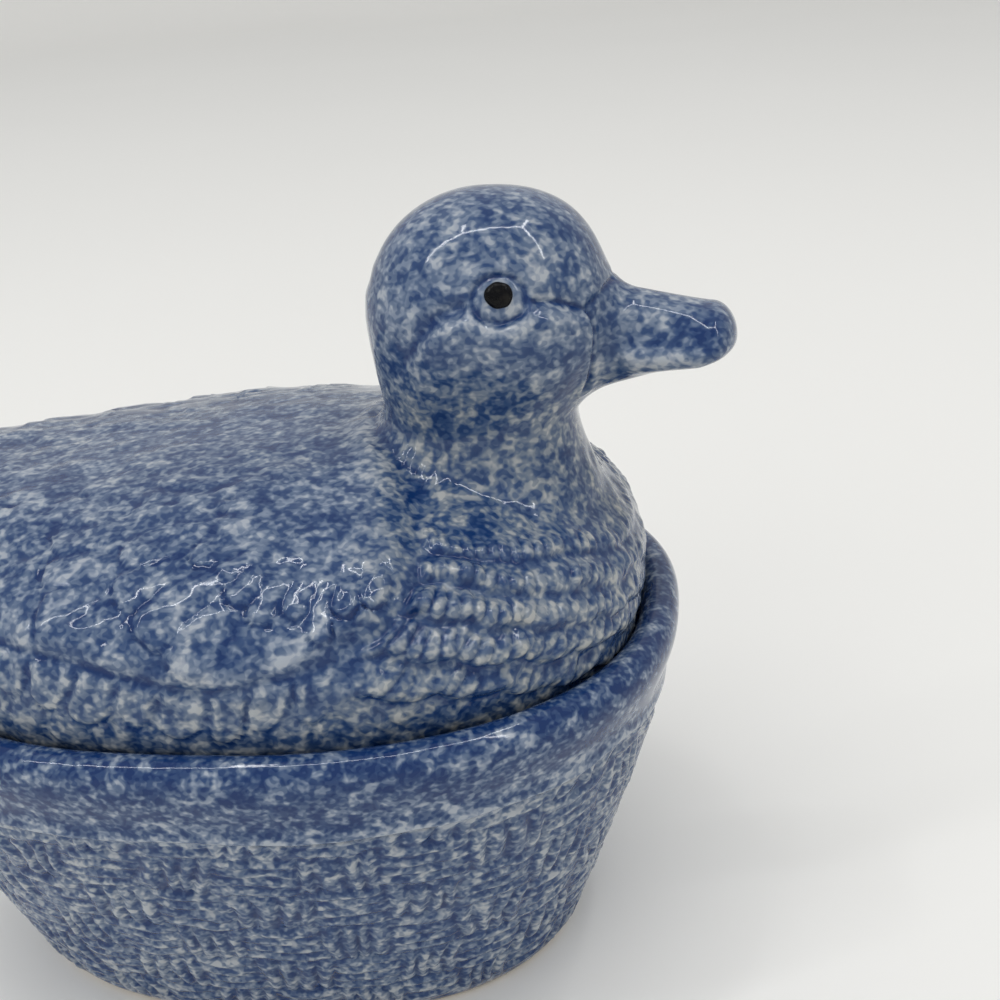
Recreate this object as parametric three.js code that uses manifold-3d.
// A glazed ceramic trinket box: a resting duck is the lid of an oval basket-weave bowl.
// Millimetres, +Z up, +X towards the bill. The origin is the middle of the bowl's foot.
import * as THREE from "three";
import { mergeVertices } from "three/addons/utils/BufferGeometryUtils.js";
import Module from "manifold-3d";

const wasm = await Module();
wasm.setup();

// Driving sizes of the bowl. An inset is measured inwards from the rim's outline.
const rimLength = 150;
const rimWidth = 120;
const bowlHeight = 67;
const ovalPower = 2.3; // 2 is an ellipse, more is squarer
const bowlWall = 4.6;
const bowlFloor = 5;
const floorRound = 5; // inside corner between floor and wall
const rimRollWidth = 6.8;
const rimRollHeight = 4;
const collarHeight = 15.5; // smooth band above the weave
const collarDraw = 3.2; // how far the wall is drawn in where the weave begins
const collarStep = 0.6; // how far the collar stands proud of the weave
const collarRound = 1.2; // height over which its lower edge turns in
const wallTaper = 17.7; // how far the weave draws in from there to the foot's rounding
const footRound = 3; // height of the rounding above the foot
const footInset = 22.2;
const wallBelly = 1.13; // 1 is a straight wall, more is fuller

// The gallery inside the rim, where the lid sits
const galleryDepth = 6.2; // from the rim's top to the ledge
const ledgeWidth = 5.6;
const ledgeThickness = 3.6;
const lidSideGap = 2; // between the lid's edge and the gallery's wall
const seatGap = 0.3; // between faces that rest on each other

// Driving sizes of the duck. A rise is measured up from the lid's lower edge.
const lidWall = 4.4;
const lidTuck = 2.8; // how far the body draws in below its widest line
const widestRise = 13;
const domeFullness = 0.8; // 1 is a ball, less is squarer
const backRise = 38.3;
const backCrest = 21; // how far ahead of the middle the back is highest
const backFall = 4.4; // how much the line of the back falls over half the body's length
const breastWidth = 84; // of the swelling that carries the neck, at the widest line
const breastFullness = 1.23; // more keeps the breast full further up
const throatRise = 41;
const throatLength = 32;
const throatWidth = 31;
const throatSetback = 10.7; // from the front of the breast to the throat
const cheekRise = 58.4; // the level where the head is longest
const cheekFullness = 0.7; // less makes the jaw fuller
const headRise = 77.9;
const headLength = 41.4;
const headWidth = 37;
const headSetback = 3.7; // from the front of the breast to the front of the head
const crownLean = 0.8; // how far the top of the head is ahead of its middle
const crownFullness = 0.92; // 1 is a ball, less is squarer
const billReach = 20; // ahead of the head
const billPower = 2.1; // of its section, 2 is an ellipse
const billWidth = 17;
const billRootHeight = 23.4; // where it leaves the middle of the head
const billTipHeight = 8.7;
const billHollow = 0.84; // 1 tapers straight, less dips more behind the tip
const billRootDrop = 5; // the bill's middle line below the level where the head is longest
const billTipDrop = 4.3;
const tailReach = 12; // behind the body
const tailPower = 3.2; // of its section, more gives it a blunter edge
const tailRound = 9; // length of the rounding at the tail's tip
const tailWidth = 27;
const tailThickness = 4.8;
const tailRootWidth = 46;
const tailRootThickness = 14;
const tailRootDrop = 11.6; // how far its middle line falls from the tip to the root
const tailRise = 34.4; // top of the tail's tip
const napeFillet = 9; // reach of the fillet between the neck and the back
const napeSetback = 43; // from the front of the breast to where that fillet starts to shrink
const breastFillet = 1; // reach that it has shrunk to on the breast
const breastSetback = 21; // from the front of the breast to there
const tailFillet = 13;
const billFillet = 4.1;
const pupilWidth = 4.6;
const pupilDepth = 1;
const pupilBulge = 0.6;
const eyeRise = 65.2;
const eyeSetback = 16.4; // from the front of the head to the pupil's middle

// Facets round each form, and steps along it
const bowlFacets = 72;
const smallFacets = 20;
const rollSteps = 9;
const wallSteps = 8;
const collarSteps = 5;
const cornerSteps = 4;
const endSteps = 5;

// How the duck's skin is meshed
const skinPitch = 2.9; // between the points at which its form is tried
const skinTolerance = 0.1;
const hollowPitch = 6;
const hollowTolerance = 0.3;
const probe = 0.05; // step over which a form's slope is measured
const leastSlope = 0.004; // that a form is taken to have

const { sin, cos, sqrt, sign, abs, hypot, max, min, PI } = Math;
const mix = (from, to, share) => from + (to - from) * share;
const ease = (share) => share * share * (3 - 2 * share);
const shareOf = (value, from, to) => min(1, max(0, (value - from) / (to - from)));
const steps = (count, make) => Array.from({ length: count }, (_, i) => make(i / (count - 1)));

// A level oval ring of points at a height
function oval(halfA, halfB, height) {
  return Array.from({ length: bowlFacets }, (_, i) => {
    const angle = (2 * PI * i) / bowlFacets;
    const x = halfA * sign(cos(angle)) * abs(cos(angle)) ** (2 / ovalPower);
    const y = halfB * sign(sin(angle)) * abs(sin(angle)) ** (2 / ovalPower);
    return [x, y, height];
  });
}

// Skins a stack of rings, each an array of [x, y, z], and closes both ends with a fan
function loft(rings) {
  const count = rings[0].length;
  const positions = rings.flat(2);
  const index = [];
  for (let k = 0; k + 1 < rings.length; k += 1) {
    for (let i = 0; i < count; i += 1) {
      const a = k * count + i;
      const b = k * count + ((i + 1) % count);
      index.push(a, b, b + count, a, b + count, a + count);
    }
  }
  for (const end of [0, rings.length - 1]) {
    const middle = rings[end][0].map((_, axis) => rings[end].reduce((sum, p) => sum + p[axis], 0) / count);
    const tip = positions.length / 3;
    positions.push(...middle);
    for (let i = 0; i < count; i += 1) {
      const a = end * count + i;
      const b = end * count + ((i + 1) % count);
      index.push(...(end === 0 ? [b, a, tip] : [a, b, tip]));
    }
  }
  const geometry = new THREE.BufferGeometry();
  geometry.setAttribute("position", new THREE.Float32BufferAttribute(positions, 3));
  geometry.setIndex(index);
  return geometry;
}

// A closed geometry as a solid that can be joined and cut
function toSolid(geometry) {
  const plain = geometry.clone();
  plain.deleteAttribute("normal");
  plain.deleteAttribute("uv");
  const merged = mergeVertices(plain);
  return new wasm.Manifold(
    new wasm.Mesh({
      numProp: 3,
      vertProperties: new Float32Array(merged.attributes.position.array),
      triVerts: new Uint32Array(merged.index.array),
    }),
  );
}

function toGeometry(solid) {
  const mesh = solid.getMesh();
  const geometry = new THREE.BufferGeometry();
  geometry.setAttribute("position", new THREE.Float32BufferAttribute(mesh.vertProperties, 3));
  geometry.setIndex(new THREE.Uint32BufferAttribute(mesh.triVerts, 1));
  geometry.computeVertexNormals();
  return geometry;
}

// Heights and insets that the bowl and the lid share
const ledgeHeight = bowlHeight - galleryDepth;
const ledgeInset = rimRollWidth + ledgeWidth;
const weaveTop = bowlHeight - collarHeight;
const lidEdge = ledgeHeight + seatGap;
const lidEdgeInset = rimRollWidth + lidSideGap;

// Inset of the woven wall's outside at a height
function wallInset(height) {
  const drawn = collarDraw + wallTaper * max(0, 1 - height / weaveTop) ** wallBelly;
  const low = max(0, 1 - height / footRound);
  return drawn + (footInset - collarDraw - wallTaper) * (1 - sqrt(1 - low * low));
}

// The bowl's section as [inset, height], from the foot up the outside and down the inside
function bowlSection() {
  const roll = rimRollWidth / 2;
  const rollBase = bowlHeight - rimRollHeight;
  const innerInset = (height) => wallInset(height) + bowlWall;
  const weave = steps(wallSteps, (share) => {
    const height = weaveTop * share * share;
    return [wallInset(height), height];
  });
  const collar = steps(collarSteps, (share) => [
    (collarDraw - collarStep) * (1 - ease(share)),
    mix(weaveTop + collarRound, rollBase, share),
  ]);
  const rim = steps(rollSteps, (share) => [
    roll * (1 - cos(PI * share)),
    rollBase + rimRollHeight * sin(PI * share),
  ]).slice(1);
  const gallery = [
    [rimRollWidth, ledgeHeight],
    [ledgeInset, ledgeHeight],
    [ledgeInset, ledgeHeight - ledgeThickness],
  ];
  const insideTop = ledgeHeight - ledgeThickness - ledgeWidth;
  const insideLow = bowlFloor + floorRound;
  const inside = steps(wallSteps, (share) => {
    const height = mix(insideTop, insideLow, share);
    return [innerInset(height), height];
  });
  const corner = steps(cornerSteps, (share) => [
    innerInset(insideLow) + floorRound * (1 - cos((PI / 2) * share)),
    insideLow - floorRound * sin((PI / 2) * share),
  ]).slice(1);
  return [...weave, ...collar, ...rim, ...gallery, ...inside, ...corner];
}

function bowlGeometry() {
  return loft(
    bowlSection().map(([inset, height]) => oval(rimLength / 2 - inset, rimWidth / 2 - inset, height)),
  );
}

// Places on the duck that its forms share
const bodyHalfLength = rimLength / 2 - lidEdgeInset + lidTuck;
const bodyHalfWidth = rimWidth / 2 - lidEdgeInset + lidTuck;
const widestHeight = lidEdge + widestRise;
const throatHeight = lidEdge + throatRise;
const cheekHeight = lidEdge + cheekRise;
const headTop = lidEdge + headRise;
const breastFront = bodyHalfLength;
const headFront = breastFront - headSetback;
const headMiddle = headFront - headLength / 2;
const throatMiddle = breastFront - throatSetback - throatLength / 2;
const billTip = headFront + billReach;
const tailTip = -bodyHalfLength - tailReach;

// 1 on the outline of an oval and less inside it
function ovalShare(a, b, halfA, halfB, power = ovalPower) {
  return ((abs(a) / halfA) ** power + (abs(b) / halfB) ** power) ** (1 / power);
}

// How far the body and the breast are drawn in at a height
function tuckAt(z) {
  return lidTuck * (max(0, widestHeight - z) / widestRise) ** 2;
}

// Each form is a function of a place: 0 on the form's skin, less inside it and more outside.
// The body is upright at its edge, then a dome whose crest follows the line of the back.
function bodyForm(x, y, z) {
  const crest = lidEdge + backRise - (backFall * max(0, backCrest - x)) / bodyHalfLength;
  const lift = max(0, z - widestHeight) / (crest - widestHeight);
  const spread = ovalShare(x, y, bodyHalfLength - tuckAt(z), bodyHalfWidth - tuckAt(z));
  return hypot(spread ** (1 / domeFullness), lift) - 1;
}

// Breast, neck and head are level ovals, and the crown closes over them
function headForm(x, y, z) {
  const neck = sin((PI / 2) * shareOf(z, widestHeight, throatHeight)) ** breastFullness;
  const jaw = ease(shareOf(z, throatHeight, cheekHeight)) ** cheekFullness;
  const lift = max(0, z - cheekHeight) / (headTop - cheekHeight);
  const breastLength = breastFront / 2 - seatGap - tuckAt(z);
  const halfLength = mix(mix(breastLength, throatLength / 2, neck), headLength / 2, jaw);
  const halfWidth = mix(mix(breastWidth / 2 - tuckAt(z), throatWidth / 2, neck), headWidth / 2, jaw);
  const middle = mix(mix(breastFront / 2, throatMiddle, neck), headMiddle, jaw) + crownLean * lift;
  const spread = ovalShare(x - middle, y, halfLength, halfWidth);
  return hypot(spread ** (1 / crownFullness), lift) - 1;
}

// How far x is past either end of a stretch
const pastEnds = (x, from, to) => max(0, from - x, x - to);

function billForm(x, y, z) {
  const root = headFront - headLength / 4;
  const end = billTip - billTipHeight / 2;
  const along = shareOf(x, root, end);
  const depth = mix(billRootHeight, billTipHeight, along ** billHollow);
  const middle = cheekHeight - mix(billRootDrop, billTipDrop, along);
  const spread = ovalShare(y, z - middle, billWidth / 2, depth / 2, billPower);
  return hypot(spread, pastEnds(x, root, end) / (billTipHeight / 2)) - 1;
}

function tailForm(x, y, z) {
  const root = -bodyHalfLength / 2;
  const end = tailTip + tailRound;
  const along = shareOf(x, end, root);
  const width = mix(tailWidth, tailRootWidth, along);
  const thickness = mix(tailThickness, tailRootThickness, along);
  const middle = lidEdge + tailRise - tailThickness / 2 - tailRootDrop * along;
  const spread = hypot(y / (width / 2), pastEnds(x, end, root) / tailRound);
  return ovalShare(spread, z - middle, 1, thickness / 2, tailPower) - 1;
}

// A form in millimetres from its skin, true close to the skin
function distanceTo(form) {
  return (x, y, z) => {
    const here = form(x, y, z);
    const slope = hypot(
      form(x + probe, y, z) - here,
      form(x, y + probe, z) - here,
      form(x, y, z + probe) - here,
    );
    return here / max(slope / probe, leastSlope);
  };
}

// The union of two distances, with a fillet along the crease between them
function joined(first, second, fillet) {
  const near = max(0, fillet - abs(first - second));
  return min(first, second) - (near * near) / fillet / 4;
}

const bodyDistance = distanceTo(bodyForm);
const headDistance = distanceTo(headForm);
const billDistance = distanceTo(billForm);
const tailDistance = distanceTo(tailForm);

function trunkDistance(x, y, z) {
  const ahead = ease(shareOf(x, breastFront - napeSetback, breastFront - breastSetback));
  const fillet = mix(napeFillet, breastFillet, ahead);
  return joined(bodyDistance(x, y, z), headDistance(x, y, z), fillet);
}

function duckDistance(x, y, z) {
  const tailed = joined(trunkDistance(x, y, z), tailDistance(x, y, z), tailFillet);
  return joined(tailed, billDistance(x, y, z), billFillet);
}

// The solid inside a distance, from under the lid's edge to above its head
function solidOf(distance, pitch, tolerance) {
  const margin = 2 * pitch;
  const bounds = {
    min: [tailTip - margin, -bodyHalfWidth - margin, lidEdge - margin],
    max: [billTip + margin, bodyHalfWidth + margin, headTop + margin],
  };
  const inside = ([x, y, z]) => -distance(x, y, z);
  return wasm.Manifold.levelSet(inside, bounds, pitch, 0, tolerance).simplify(tolerance);
}

// The eyes: an enamel drop that fills a round socket on each side of the head
const eyeHeight = lidEdge + eyeRise;
const eyeX = headFront - eyeSetback;

// Half width of the head at the eye
function headSide() {
  const lift = (eyeHeight - cheekHeight) / (headTop - cheekHeight);
  const level = sqrt(1 - lift * lift) ** crownFullness;
  const off = (eyeX - headMiddle - crownLean * lift) / (level * headLength / 2);
  return (headWidth / 2) * level * (1 - abs(off) ** ovalPower) ** (1 / ovalPower);
}

function onSide(geometry, side, depth) {
  if (side < 0) geometry.rotateX(PI);
  return geometry.translate(eyeX, side * (headSide() - depth), eyeHeight);
}

function pupilGeometry(side) {
  const radius = pupilWidth / 2;
  const dome = steps(endSteps, (share) => [
    share < 1 ? radius * cos((PI / 2) * share) : 0,
    pupilDepth + pupilBulge * sin((PI / 2) * share),
  ]);
  const outline = [[0, 0], [radius, 0], ...dome].map(([r, y]) => new THREE.Vector2(r, y));
  return onSide(new THREE.LatheGeometry(outline, smallFacets), side, pupilDepth);
}

function socketSolid(side) {
  const radius = pupilWidth / 2 + seatGap;
  const drill = new THREE.CylinderGeometry(radius, radius, lidWall, smallFacets);
  drill.translate(0, lidWall / 2 - seatGap, 0);
  return toSolid(onSide(drill, side, pupilDepth));
}

// A hollow shell whose lower edge is cut flat, with a socket for each pupil
function duckGeometry() {
  const hollow = solidOf((x, y, z) => trunkDistance(x, y, z) + lidWall, hollowPitch, hollowTolerance);
  const duck = solidOf(duckDistance, skinPitch, skinTolerance)
    .trimByPlane([0, 0, 1], lidEdge)
    .subtract(hollow)
    .subtract(socketSolid(1))
    .subtract(socketSolid(-1));
  return toGeometry(duck);
}

const blueGlaze = new THREE.MeshStandardMaterial({ color: 0x5468a0, roughness: 0.12, metalness: 0 });
const blueBowlGlaze = blueGlaze.clone();
const blackEnamel = new THREE.MeshStandardMaterial({ color: 0x0b0b0c, roughness: 0.1, metalness: 0 });

function piece(name, geometry, material) {
  const mesh = new THREE.Mesh(geometry, material);
  mesh.name = name;
  return mesh;
}

// The lid and its pupils lift off together, and the bowl stays on the table
const lid = new THREE.Group();
lid.add(piece("duck_lid", duckGeometry(), blueGlaze));
lid.add(piece("left_pupil", pupilGeometry(1), blackEnamel));
lid.add(piece("right_pupil", pupilGeometry(-1), blackEnamel.clone()));

const box = new THREE.Group();
box.add(piece("nest_bowl", bowlGeometry(), blueBowlGlaze), lid);

export default box;
